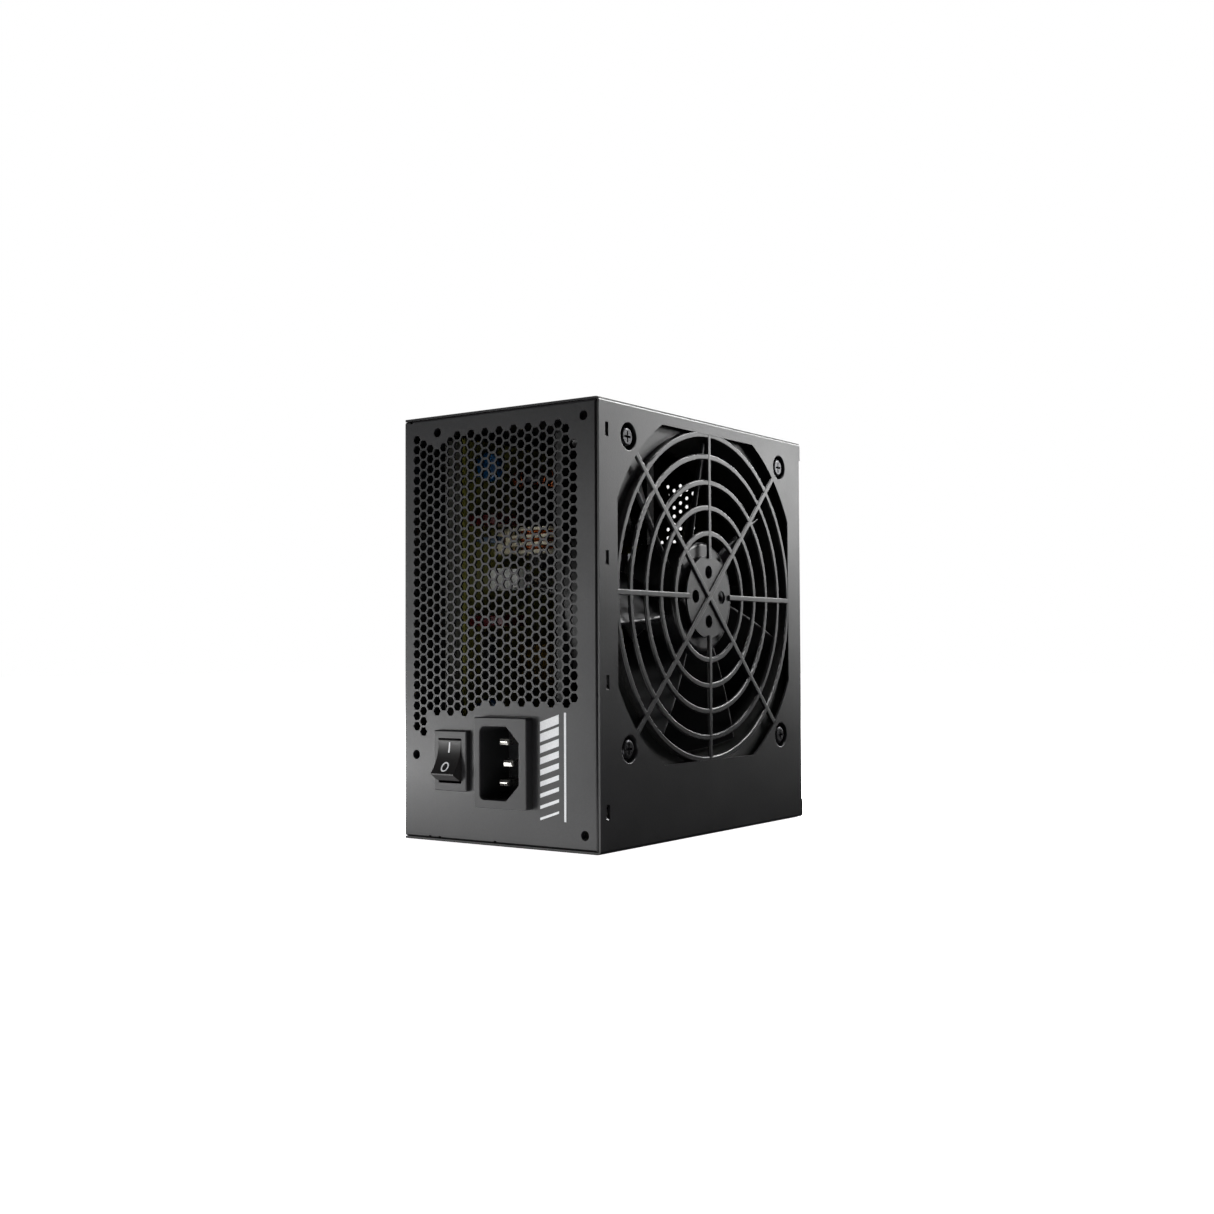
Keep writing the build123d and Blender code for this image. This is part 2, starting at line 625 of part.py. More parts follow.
def live_lead():
    """Brown lead from the inlet's live pin to the switch."""
    x, z, _ = inlet_pins()[0]
    y = -29
    return lead([(x, TAB_END_Y, z), (x, y, z), (SWITCH_X, y, SWITCH_Z), (SWITCH_X, TAB_END_Y, SWITCH_Z)])


def switched_lead():
    """Black lead from the switch to the board."""
    z = terminal_places()[1][0]
    return lead([(SWITCH_X, TAB_END_Y, z), (SWITCH_X, -28, z), (BOARD_TOP, -28, z)])


def neutral_lead():
    """Blue lead from the inlet's neutral pin to the board."""
    x, z, _ = inlet_pins()[1]
    return lead([(x, TAB_END_Y, z), (x, -24, z), (BOARD_TOP, -24, z)])


def earth_lead():
    """Green and yellow lead from the inlet's earth pin, under the switch, to the ring terminal."""
    x, z, _ = inlet_pins()[2]
    y_stud, z_stud = STUD
    return lead([(FLOOR_IN + 1.6, y_stud, z_stud - 9), (FLOOR_IN + 1.6, y_stud, 9), (-20, -52, 8),
                 (x - 1.5, -36, 9), (x, -27, 16), (x, -27, z), (x, TAB_END_Y, z)])


def earth_stud():
    """Threaded stud pressed into the large face from inside."""
    return rod_x(2.0, FLOOR_IN, FLOOR_IN + 7, *STUD)


def earth_terminal():
    """Ring terminal with its crimp barrel pointing down."""
    y, z = STUD
    ring = rod_x(4.0, FLOOR_IN, FLOOR_IN + 0.8, y, z)
    neck = block(FLOOR_IN, FLOOR_IN + 0.8, y - 1.6, y + 1.6, z - 6, z)
    barrel = rod_z(1.6, z - 9, z - 5, FLOOR_IN + 1.6, y)
    return ring + neck + barrel - rod_x(2.06, FLOOR_IN - 1, FLOOR_IN + 2, y, z)


def earth_nut():
    """Hexagon nut on the earth stud."""
    plane = Plane((FLOOR_IN + 0.8, *STUD), x_dir=(0, 1, 0), z_dir=(1, 0, 0))
    nut = extrude(plane * RegularPolygon(3.5, 6, major_radius=False), amount=3)
    return nut - rod_x(2.05, FLOOR_IN, FLOOR_IN + 8, *STUD)


def cable_bushing():
    """Snap-in bushing that lines the hole where the output cables leave."""
    bush = fused([
        rod_y(OUTLET_R + 4, HALF_Y, HALF_Y + 1.6, OUTLET_X, OUTLET_Z),
        rod_y(OUTLET_R + 2.2, WALL_IN - 2.5, HALF_Y, OUTLET_X, OUTLET_Z),
        rod_y(OUTLET_R + 3.4, WALL_IN - 2.5, WALL_IN - 0.1, OUTLET_X, OUTLET_Z),
    ])
    bush = fillet(bush.edges().group_by(Axis.Y)[-1], 0.7)
    return bush - rod_y(OUTLET_R, WALL_IN - 5, HALF_Y + 5, OUTLET_X, OUTLET_Z)


# ---------------------------------------------------------------- circuit board

def main_board():
    """Glass-epoxy circuit board on four standoffs."""
    board = block(BOARD_TOP - BOARD_THICK, BOARD_TOP, *BOARD_Y, *BOARD_Z)
    for y, z in STANDOFFS:
        board -= rod_x(1.7, BOARD_TOP - 3, BOARD_TOP + 1, y, z)
    return board


def board_standoffs():
    """Four hexagonal brass pillars between the large face and the board."""
    pillars = []
    for y, z in STANDOFFS:
        plane = Plane((FLOOR_IN, y, z), x_dir=(0, 1, 0), z_dir=(1, 0, 0))
        pillar = extrude(plane * RegularPolygon(2.75, 6, major_radius=False),
                         amount=BOARD_TOP - BOARD_THICK - FLOOR_IN)
        pillars.append(pillar - rod_x(1.55, FLOOR_IN + 1, BOARD_TOP, y, z))
    return pillars


def board_screws():
    """Four pan-head screws that hold the board down."""
    screws = []
    for y, z in STANDOFFS:
        head = fillet(rod_x(2.8, BOARD_TOP, BOARD_TOP + 1.8, y, z).edges().group_by(Axis.X)[-1], 0.8)
        screw = head + rod_x(1.5, BOARD_TOP - 6, BOARD_TOP, y, z)
        screws.append(screw - Pos(BOARD_TOP + 1.8, y, z) * Rot(0, 90, 0) * cross(1.0, 1.5, 0.6))
    return screws


def insulating_sheet():
    """Thin sheet between the board's solder side and the case."""
    sheet = block(FLOOR_IN + 0.3, FLOOR_IN + 0.7, -49, 66, 4, 146)
    for y, z in STANDOFFS:
        sheet -= rod_x(4.0, FLOOR_IN, FLOOR_IN + 1, y, z)
    return sheet


def disc_part(axis_rod, legs):
    """Round component body with rounded edges on two legs."""
    body = fillet(axis_rod.edges().filter_by(GeomType.CIRCLE), 1.0)
    return fused([body] + legs)


def y_capacitors():
    """Two blue disc capacitors, flat side to the mains panel."""
    parts = []
    for z in (134.5, 44.0):
        legs = [rod_x(0.4, BOARD_TOP, -27, -43, z + dz) for dz in (-3, 3)]
        parts.append(disc_part(rod_y(5.3, -45, -41, -25.2, z), legs))
    return parts


def film_capacitors():
    """Two red film capacitors, edge to the mains panel."""
    parts = []
    for z, top in ((115.0, -19.5), (77.8, -16.5)):
        body = block(BOARD_TOP, top, -46, -33, z - 2, z + 2)
        parts.append(fillet(body.edges().filter_by(Axis.X), 0.8))
    return parts


def thermistor():
    """Inrush thermistor, a disc edge-on to the mains panel."""
    legs = [rod_x(0.4, BOARD_TOP, -28, -40 + dy, 107.6) for dy in (-3, 3)]
    return disc_part(rod_z(5.0, 106.4, 108.8, -26.8, -40), legs)


def fuse():
    """Sleeved fuse lying on the board."""
    legs = [rod_x(0.4, BOARD_TOP, -29.5, -38, z) for z in (52.5, 73.5)]
    return fused([rod_z(2.6, 54, 72, -29.5, -38), rod_z(0.4, 52.1, 73.9, -29.5, -38)] + legs)


def line_filter_bobbin():
    """Cream sectioned bobbin of the line filter, on its pin block."""
    flanges = [block(FILTER_X - 10.5, FILTER_X + 10.5, FILTER_Y - 8.5, FILTER_Y + 8.5, z - 0.5, z + 0.5)
               for z in FILTER_Z]
    tube = block(FILTER_X - 4, FILTER_X + 4, FILTER_Y - 4, FILTER_Y + 4, FILTER_Z[0], FILTER_Z[-1])
    feet = [block(BOARD_TOP, FILTER_X - 8, FILTER_Y + dy - 1.5, FILTER_Y + dy + 1.5,
                  FILTER_Z[0] - 0.5, FILTER_Z[-1] + 0.5) for dy in (-6.5, 6.5)]
    body = fused(flanges + [tube] + feet)
    return body - block(FILTER_X - 3.1, FILTER_X + 3.1, FILTER_Y - 3.1, FILTER_Y + 3.1, 100, 116)


def line_filter_windings():
    """Three copper windings between the bobbin's flanges."""
    parts = []
    for low, high in zip(FILTER_Z, FILTER_Z[1:]):
        coil = rod_z(7.4, low + 0.55, high - 0.55, FILTER_X, FILTER_Y)
        bore = block(FILTER_X - 4.05, FILTER_X + 4.05, FILTER_Y - 4.05, FILTER_Y + 4.05, low, high)
        parts.append(coil - bore)
    return parts


def line_filter_core():
    """Closed ferrite frame through the bobbin."""
    frame = block(FILTER_X - 3, FILTER_X + 3, FILTER_Y - 3, FILTER_Y + 15, 98.0, 118.0)
    return frame - block(FILTER_X - 4, FILTER_X + 4, FILTER_Y + 3, FILTER_Y + 10, 102.6, 113.2)


def choke_turn(ring_radius, wire_radius, core_radius, angle):
    """One turn of wire round a toroid whose axis is Z."""
    turn = Rot(90, 0, 0) * Torus(core_radius + wire_radius + 0.1, wire_radius)
    return Rot(0, 0, angle) * Pos(ring_radius, 0, 0) * turn


def choke_core():
    """Small ferrite toroid, standing on its edge."""
    return Pos(*CHOKE) * Torus(6.0, 2.0)


def choke_winding():
    """Copper turns of the small choke."""
    return [Pos(*CHOKE) * choke_turn(6.0, 0.55, 2.0, 30 * i) for i in range(12)]


def bulk_capacitor():
    """Large mains capacitor, standing on the board."""
    can = rod_x(15, BOARD_TOP, 11, 9, 122)
    return fillet(can.edges().filter_by(GeomType.CIRCLE), 1.2)


def heatsink(y0, y1, z, side):
    """Aluminium plate across the board with fins on one side."""
    plate = block(BOARD_TOP, 12, y0, y1, z - 1.5, z + 1.5)
    fins = []
    for i in range(6):
        x = -18 + i * 5.6
        low, high = sorted((z, z + side * 9))
        fins.append(block(x - 0.7, x + 0.7, y0, y1, low, high))
    return fused([plate] + fins)


def transistors(z, side, centres):
    """Flat power packages clamped to a heatsink, with three legs each."""
    parts = []
    for y in centres:
        low, high = sorted((z + side * 1.5, z + side * 6.0))
        middle = (low + high) / 2
        body = [block(-28, -12, y - 5, y + 5, low, high)]
        legs = [block(BOARD_TOP, -28, y + dy - 0.4, y + dy + 0.4, middle - 0.3, middle + 0.3)
                for dy in (-2.5, 0, 2.5)]
        parts.append(fused(body + legs))
    return parts


def primary_heatsink():
    """Heatsink of the mains side."""
    return heatsink(-4, 44, 94, 1)


def primary_transistors():
    """Two switching transistors under the mains-side heatsink."""
    return transistors(94, -1, (18, 34))


def bridge_rectifier():
    """Bridge rectifier on the same heatsink."""
    body = block(-28, -10, -3, 9, 88.0, 92.5)
    legs = [block(BOARD_TOP, -28, y - 0.5, y + 0.5, 89.9, 90.5) for y in (-1.5, 1.5, 4.5, 7.5)]
    return fused([body] + legs)


def secondary_heatsink():
    """Heatsink of the output side."""
    return heatsink(-4, 50, 44, -1)


def output_rectifiers():
    """Three rectifiers on the output-side heatsink."""
    return transistors(44, 1, (10, 26, 42))


def main_transformer_core():
    """Pair of ferrite E cores."""
    core = block(-30, -4, 8, 44, 54, 66)
    core -= block(-24, -10, 14, 23, 50, 70)
    return core - block(-24, -10, 29, 38, 50, 70)


def main_transformer_winding():
    """Taped winding with its pin block."""
    coil = fillet(block(-23.8, -10.2, 14.2, 37.8, 51, 69).edges().filter_by(Axis.Y), 1.5)
    coil = coil - block(-24, -10, 22.9, 29.1, 53.9, 66.1)
    feet = [block(BOARD_TOP, -22, 15, 37, z0, z1) for z0, z1 in ((51, 53.6), (66.4, 69))]
    return fused([coil] + feet)


def standby_transformer():
    """Small transformer of the standby supply."""
    core = block(BOARD_TOP + 1, -16, -20, -4, 56, 66)
    return fillet(core.edges().filter_by(Axis.Z), 1.0) + block(BOARD_TOP, -18, -18, -6, 53, 69)


def output_choke_core():
    """Iron powder toroid of the output choke, standing on its edge."""
    return Pos(*OUTPUT_CHOKE) * Torus(9.0, 3.4)


def output_choke_winding():
    """Enamelled turns of the output choke."""
    return [Pos(*OUTPUT_CHOKE) * choke_turn(9.0, 0.8, 3.4, 24 * i) for i in range(15)]


def output_capacitors():
    """Six smoothing capacitors."""
    places = [(57, 56 + 12 * i) for i in range(4)] + [(32, 12 + 12 * i) for i in range(2)]
    parts = []
    for y, z in places:
        can = rod_x(5, BOARD_TOP, -9, y, z)
        parts.append(fillet(can.edges().filter_by(GeomType.CIRCLE), 0.6))
    return parts


def control_board():
    """Upright daughterboard with the control circuit."""
    return block(BOARD_TOP, -8, 34, 35.2, 104, 138)


def control_chips():
    """Two chips on the daughterboard."""
    return [block(-26, -19, 35.2, 36.9, 108, 118), block(-26, -20, 35.2, 36.9, 124, 134)]


PARTS = [
    base_shell, fan_cover, cover_screws, fan_screws, fan_frame, fan_impeller, fan_shaft, fan_bearing,
    fan_magnet_ring, fan_stator, fan_coils, fan_motor_board, fan_lead, fan_plug, inlet_housing,
    live_pin, neutral_pin, earth_pin, switch_housing, switch_rocker, switch_plunger, switch_spring,
    switch_contact, switch_terminals, live_lead, switched_lead, neutral_lead, earth_lead, earth_stud,
    earth_terminal, earth_nut, cable_bushing, main_board, board_standoffs, board_screws,
    insulating_sheet, y_capacitors, film_capacitors, thermistor, fuse, line_filter_bobbin,
    line_filter_windings, line_filter_core, choke_core, choke_winding, bulk_capacitor,
    primary_heatsink, primary_transistors, bridge_rectifier, secondary_heatsink, output_rectifiers,
    main_transformer_core, main_transformer_winding, standby_transformer, output_choke_core,
    output_choke_winding, output_capacitors, control_board, control_chips,
]

os.makedirs("parts", exist_ok=True)
for make in PARTS:
    shape = make()
    if isinstance(shape, list):
        shape = Compound(children=shape)
    export_step(shape, f"parts/{make.__name__}.step")
    print(make.__name__, round(shape.volume, 1), flush=True)
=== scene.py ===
# %% [markdown]
# # A computer power supply, finished in Blender
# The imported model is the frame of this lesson: a folded steel case with a fan, a mains inlet and a rocker
# switch, every piece already in its place. Here each piece gets the finish of the real one, and the few things
# that are printed or painted on the case are made as thin meshes.

import json
import math

import bmesh
import bpy
from mathutils import Matrix, Vector


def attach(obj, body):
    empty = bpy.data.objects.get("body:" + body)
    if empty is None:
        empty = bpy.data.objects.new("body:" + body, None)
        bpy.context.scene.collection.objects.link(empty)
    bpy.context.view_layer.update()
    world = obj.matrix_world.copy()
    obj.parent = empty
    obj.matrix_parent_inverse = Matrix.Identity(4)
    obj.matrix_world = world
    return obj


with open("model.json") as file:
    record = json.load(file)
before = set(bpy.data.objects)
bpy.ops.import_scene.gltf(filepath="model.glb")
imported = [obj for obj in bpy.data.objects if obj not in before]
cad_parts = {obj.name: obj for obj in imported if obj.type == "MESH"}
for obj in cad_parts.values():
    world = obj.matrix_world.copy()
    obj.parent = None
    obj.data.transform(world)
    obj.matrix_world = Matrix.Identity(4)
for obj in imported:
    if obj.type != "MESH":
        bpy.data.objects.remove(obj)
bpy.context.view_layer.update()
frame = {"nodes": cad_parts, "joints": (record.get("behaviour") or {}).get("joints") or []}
MM = 0.001

# %% [markdown]
# ## Camera
# The unit is seen from its mains-panel corner, almost level with the table, with a mild telephoto lens. The
# camera stands 65 mm above the table and looks up by less than two degrees, so the upright edges stay nearly
# parallel. It is placed by where it stands and by its heading, tilt and roll.

# %% Camera
CAMERA_PLACE = (0.3239, -0.4637, 0.0651)
HEADING, TILT, ROLL = (math.radians(a) for a in (35.2, 91.84, -0.26))

camera_data = bpy.data.cameras.new("camera")
camera_data.lens = 44.05
camera_data.sensor_width = 36.0
camera_data.clip_start = 0.01
camera = bpy.data.objects.new("camera", camera_data)
turn = Matrix.Rotation(HEADING, 4, "Z") @ Matrix.Rotation(TILT, 4, "X") @ Matrix.Rotation(ROLL, 4, "Z")
camera.matrix_world = Matrix.Translation(CAMERA_PLACE) @ turn
bpy.context.scene.collection.objects.link(camera)
bpy.context.scene.camera = camera
bpy.context.scene.view_settings.view_transform = "Standard"
print("camera", round(camera.matrix_world.translation.length, 3), "m from the origin, lens", camera_data.lens)

# %% [markdown]
# ## Nodes in one helper
# A procedural material is a small graph. One helper adds any node, sets its properties and sockets and links
# its inputs, so that each material below reads as a list of what it is made of. Colours are written as the hex
# values that a colour picker shows, and one function turns them to the linear values that light works in.


# %% Colour and node helpers
def linear(hex_colour):
    """An sRGB hex colour as the linear RGBA of a shader socket."""
    channels = [int(hex_colour[i:i + 2], 16) / 255 for i in (1, 3, 5)]
    return [c / 12.92 if c <= 0.04045 else ((c + 0.055) / 1.055) ** 2.4 for c in channels] + [1.0]


def add(tree, kind, sockets=None, links=None, **properties):
    """Add a node to a tree with its properties, socket values and incoming links."""
    node = tree.nodes.new(kind)
    for name, value in properties.items():
        setattr(node, name, value)
    for name, value in (sockets or {}).items():
        node.inputs[name].default_value = value
    for name, source in (links or {}).items():
        tree.links.new(source, node.inputs[name])
    return node


def start(name):
    """A new material: its tree, its shader and the object coordinates that its patterns read."""
    material = bpy.data.materials.new(name)
    material.use_nodes = True
    tree = material.node_tree
    shader = tree.nodes["Principled BSDF"]
    place = add(tree, "ShaderNodeTexCoord").outputs["Object"]
    return material, tree, shader, place


def per_mm(size):
    """Texture scale that repeats a pattern about every so many millimetres."""
    return 1.0 / (size * MM)


def mottle(tree, place, size, detail=3.0):
    """Soft noise with features of the given size in millimetres."""
    return add(tree, "ShaderNodeTexNoise", {"Scale": per_mm(size), "Detail": detail, "Roughness": 0.55},
               {"Vector": place}).outputs["Fac"]


def spread(tree, value, low, high):
    """A 0 to 1 pattern brought to run from low to high."""
    return add(tree, "ShaderNodeMapRange", {"From Min": 0.3, "From Max": 0.7, "To Min": low, "To Max": high},
               {"Value": value}).outputs["Result"]


def tint(tree, value, dark, light):
    """A pattern as a blend of two hex colours."""
    return add(tree, "ShaderNodeMix", {6: linear(dark), 7: linear(light)}, {0: value},
               data_type="RGBA").outputs[2]


def bump(tree, shader, height, depth):
    """Raise the surface by a pattern, by so many millimetres at most."""
    relief = add(tree, "ShaderNodeBump", {"Strength": 1.0, "Distance": depth * MM}, {"Height": height})
    tree.links.new(relief.outputs["Normal"], shader.inputs["Normal"])


def paint(material, *nodes):
    """Give CAD nodes a material."""
    for name in nodes:
        slots = frame["nodes"][name].data.materials
        slots.clear()
        slots.append(material)
    print(f"{material.name}: {', '.join(nodes)}")


print("mid grey #808080 is", round(linear("#808080")[0], 3), "of white in linear light")


# %% [markdown]
# ## Powder-coated steel
# The case is folded sheet steel under a black polyester powder coat. The powder flows into a skin about
# 0.08 mm thick with a fine orange-peel texture, so it is neither matt nor glossy: a lamp shows as a broad soft
# sheen. A noise at the grain's size gives the bump, and a slower one varies the sheen a little. The real grain
# is about 0.3 mm; it is drawn at 0.6 mm so that it shows.


# %% Powder coat
def powder_coat():
    material, tree, shader, place = start("powder_coated_steel")
    grain = mottle(tree, place, 0.6, 2.0)
    cloud = mottle(tree, place, 18.0)
    colour = tint(tree, spread(tree, grain, 0.0, 1.0), "#161617", "#1d1d1f")
    tree.links.new(colour, shader.inputs["Base Color"])
    tree.links.new(spread(tree, cloud, 0.30, 0.34), shader.inputs["Roughness"])
    shader.inputs["IOR"].default_value = 1.5
    bump(tree, shader, grain, 0.018)
    return material


paint(powder_coat(), "base_shell", "fan_cover")

# %% [markdown]
# ## Moulded plastics
# The fan is glass-filled polyester, the inlet and the switch are nylon, all black, and each leaves its tool
# with its own sheen: the blades are smooth, the inlet is spark-eroded to a fine matt, the rocker is satin. One
# function covers them: a base colour in two close tones, a roughness that drifts a little, a fine bump.


# %% Moulded plastic
def moulded(name, dark, light, roughness, grain_size, grain_depth, ior=1.5):
    material, tree, shader, place = start(name)
    grain = mottle(tree, place, grain_size, 2.0)
    cloud = mottle(tree, place, 9.0)
    tree.links.new(tint(tree, spread(tree, grain, 0.0, 1.0), dark, light), shader.inputs["Base Color"])
    tree.links.new(spread(tree, cloud, roughness - 0.03, roughness + 0.03), shader.inputs["Roughness"])
    shader.inputs["IOR"].default_value = ior
    bump(tree, shader, grain, grain_depth)
    return material


paint(moulded("fan_frame_polyester", "#1c1c1c", "#262625", 0.42, 0.6, 0.010), "fan_frame")
paint(moulded("fan_blade_polyester", "#121214", "#18181b", 0.33, 0.9, 0.003), "fan_impeller")
paint(moulded("inlet_nylon", "#151516", "#1b1b1d", 0.40, 0.5, 0.012), "inlet_housing", "switch_housing")
paint(moulded("rocker_nylon", "#161515", "#1c1b1b", 0.33, 0.5, 0.006), "switch_rocker")
paint(moulded("bushing_vinyl", "#0d0d0d", "#121212", 0.5, 0.7, 0.01), "cable_bushing")
paint(moulded("white_nylon", "#f6f6f2", "#fdfdfa", 0.4, 0.8, 0.004), "fan_plug")
paint(moulded("cream_phenolic", "#f4eacc", "#fcf4dc", 0.45, 0.8, 0.004), "line_filter_bobbin")
paint(moulded("chip_epoxy", "#121213", "#18181a", 0.55, 0.3, 0.006),
      "primary_transistors", "bridge_rectifier", "output_rectifiers", "control_chips")
paint(moulded("bonded_ferrite_magnet", "#1d1b19", "#262321", 0.6, 0.4, 0.01), "fan_magnet_ring")
paint(moulded("insulating_film", "#8f8f86", "#9b9b92", 0.35, 6.0, 0.01), "insulating_sheet")

# %% [markdown]
# ## Dipped and sleeved components
# Disc and film capacitors are dipped in coloured lacquer, which dries to a smooth skin that pools at the edges.
# Electrolytic cans and the fuse wear a shrunk plastic sleeve. Both are glossy, with a slow unevenness.


# %% Dipped lacquer
def dipped(name, dark, light, roughness=0.2):
    material, tree, shader, place = start(name)
    pools = mottle(tree, place, 4.0)
    tree.links.new(tint(tree, spread(tree, pools, 0.0, 1.0), dark, light), shader.inputs["Base Color"])
    tree.links.new(spread(tree, pools, roughness, roughness + 0.12), shader.inputs["Roughness"])
    bump(tree, shader, pools, 0.08)
    return material


paint(dipped("blue_dipped_lacquer", "#0d3a61", "#124a78"), "y_capacitors")
paint(dipped("red_dipped_lacquer", "#3c0e10", "#4c1215"), "film_capacitors")
paint(dipped("grey_dipped_lacquer", "#4b5a6b", "#5b6b7d"), "thermistor")
paint(dipped("black_shrink_sleeve", "#0c0c0d", "#141415"), "bulk_capacitor", "fuse", "output_capacitors")
paint(dipped("yellow_polyester_tape", "#6f5512", "#80641a", 0.3),
      "main_transformer_winding", "standby_transformer")
paint(dipped("coated_iron_powder", "#4c4b18", "#5b591f", 0.4), "output_choke_core")

# %% [markdown]
# ## Metals
# A metal has no colour under its reflection, so it needs its base colour, full metallic and a roughness that
# says how it was worked: plated pins are nearly mirrors, zinc-plated screws are softer, extruded aluminium has
# fine drawn lines, and pressed or sintered parts are dull.


# %% Metals
def metal(name, dark, light, roughness, grain_size, grain_depth):
    material, tree, shader, place = start(name)
    grain = mottle(tree, place, grain_size)
    tree.links.new(tint(tree, spread(tree, grain, 0.0, 1.0), dark, light), shader.inputs["Base Color"])
    tree.links.new(spread(tree, grain, roughness - 0.05, roughness + 0.05), shader.inputs["Roughness"])
    shader.inputs["Metallic"].default_value = 1.0
    bump(tree, shader, grain, grain_depth)
    return material


def drawn_aluminium():
    material, tree, shader, place = start("drawn_aluminium")
    stretched = add(tree, "ShaderNodeMapping", {"Scale": (1.0, 0.03, 1.0)}, {"Vector": place}).outputs["Vector"]
    lines = mottle(tree, stretched, 0.5)
    tree.links.new(tint(tree, lines, "#b9babd", "#d3d4d6"), shader.inputs["Base Color"])
    tree.links.new(spread(tree, lines, 0.28, 0.42), shader.inputs["Roughness"])
    shader.inputs["Metallic"].default_value = 1.0
    bump(tree, shader, lines, 0.01)
    return material


paint(metal("nickel_plated_brass", "#c9c7c0", "#dad8d2", 0.3, 0.8, 0.003),
      "live_pin", "neutral_pin", "earth_pin", "earth_terminal")
paint(metal("black_zinc_screw", "#3a3a3c", "#4a4a4c", 0.3, 0.5, 0.004), "fan_screws", "cover_screws")
paint(metal("bright_zinc", "#b4b6b8", "#c8cacc", 0.25, 0.6, 0.003), "fan_shaft", "switch_plunger",
      "switch_spring", "earth_stud", "earth_nut", "board_screws")
paint(metal("plain_brass", "#c29b4b", "#d3ae5f", 0.3, 0.8, 0.004), "switch_terminals", "board_standoffs")
paint(metal("sintered_bronze", "#8b6a3e", "#9c7a4c", 0.5, 0.3, 0.008), "fan_bearing")
paint(metal("electrical_steel", "#6c6e70", "#7d7f82", 0.45, 0.5, 0.01), "fan_stator")
paint(metal("contact_copper", "#b96a45", "#cc7d56", 0.35, 0.8, 0.004), "switch_contact")
paint(drawn_aluminium(), "primary_heatsink", "secondary_heatsink")
paint(moulded("sintered_ferrite", "#2a2a2d", "#343438", 0.5, 0.5, 0.01),
      "line_filter_core", "choke_core", "main_transformer_core")

# %% [markdown]
# ## Enamelled windings
# A winding is copper wire under clear enamel, laid turn by turn. The turns are 0.5 mm apart, so a wave pattern
# of that pitch gives the ridges, on bare copper under a clear coat. The same wave makes the copper darker in
# the grooves between the turns, which is painted shade.


# %% Windings
def enamelled_copper(name, pitch, direction):
    material, tree, shader, place = start(name)
    turns = add(tree, "ShaderNodeTexWave", {"Scale": per_mm(pitch) / math.tau, "Distortion": 0.4},
                {"Vector": place}, bands_direction=direction).outputs["Fac"]
    # the wave also darkens the base colour towards the grooves between turns: painted shade
    tree.links.new(tint(tree, turns, "#7c3216", "#d97a45"), shader.inputs["Base Color"])
    tree.links.new(spread(tree, turns, 0.22, 0.4), shader.inputs["Roughness"])
    shader.inputs["Metallic"].default_value = 1.0
    shader.inputs["Coat Weight"].default_value = 0.6
    bump(tree, shader, turns, 0.12)
    return material


paint(enamelled_copper("enamelled_copper_layers", 0.5, "Z"), "line_filter_windings", "fan_coils")
paint(enamelled_copper("enamelled_copper_turns", 1.1, "X"), "choke_winding", "output_choke_winding")

# %% [markdown]
# ## Circuit boards
# The boards are glass-epoxy laminate, which is olive yellow at a cut edge where the weave shows, and greener
# under the solder mask. The weave is a fine checker of crossed threads.


# %% Circuit board
def laminate():
    material, tree, shader, place = start("glass_epoxy_laminate")
    weave = add(tree, "ShaderNodeTexChecker", {"Scale": per_mm(0.8)}, {"Vector": place}).outputs["Fac"]
    cloud = mottle(tree, place, 7.0)
    tone = add(tree, "ShaderNodeMath", {0: 0.5}, {0: weave, 1: cloud}, operation="MULTIPLY").outputs[0]
    tree.links.new(tint(tree, tone, "#6f6f2c", "#948c46"), shader.inputs["Base Color"])
    tree.links.new(spread(tree, cloud, 0.35, 0.5), shader.inputs["Roughness"])
    bump(tree, shader, weave, 0.01)
    return material


paint(laminate(), "main_board", "control_board", "fan_motor_board")

# %% [markdown]
# ## Wire insulation
# Mains leads wear vinyl in set colours: brown live, blue neutral, green with a yellow stripe for earth, black
# after the switch.

# %% Leads
paint(moulded("brown_vinyl", "#3f2415", "#4c2e1c", 0.4, 1.5, 0.01), "live_lead")
paint(moulded("black_vinyl", "#0e0e0e", "#151515", 0.4, 1.5, 0.01), "switched_lead", "fan_lead")
paint(moulded("blue_vinyl", "#123a80", "#1b4691", 0.4, 1.5, 0.01), "neutral_lead")
paint(moulded("green_yellow_vinyl", "#3d7a2a", "#a8a52c", 0.4, 3.0, 0.01), "earth_lead")

# %% [markdown]
# ## Thin pieces
# Ink and screens are thin solids. Each is drawn flat in the XZ plane, which is the plane of the mains panel,
# and is then given a thickness towards the viewer. A finished piece rides on the CAD body that carries it.

# %% Helpers for thin pieces
INK = 0.06 * MM
UPRIGHT = Matrix.Rotation(math.radians(90), 4, "X")


def raise_flat(mesh, thickness):
    """Give a flat mesh in the XZ plane a thickness towards the viewer, at -Y."""
    grown = bmesh.ops.extrude_face_region(mesh, geom=mesh.faces[:])
    top = [g for g in grown["geom"] if isinstance(g, bmesh.types.BMVert)]
    bmesh.ops.translate(mesh, verts=top, vec=(0, -thickness, 0))


def finish_piece(mesh, name, material, body):
    """Turn a bmesh into an object that rides on a CAD body."""
    bmesh.ops.recalc_face_normals(mesh, faces=mesh.faces)
    data = bpy.data.meshes.new(name)
    mesh.to_mesh(data)
    mesh.free()
    data.materials.append(material)
    piece = bpy.data.objects.new(name, data)
    bpy.context.scene.collection.objects.link(piece)
    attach(piece, body)
    print(name, "has", len(data.polygons), "faces and rides on", body)
    return piece


ink = moulded("white_ink", "#c9cacc", "#d8d9db", 0.5, 0.5, 0.004)
print("ink", round(INK / MM, 3), "mm thick")

# %% [markdown]
# ## The marks on the rocker
# The rocker carries the two signs that every mains switch has, a bar for on and a ring for off, printed in
# white ink. The face is dished, so each mark is a flat mesh laid on a curved one: it is drawn in a plane with
# bmesh, cut fine enough to bend, and every point is then moved onto the arc of the face.

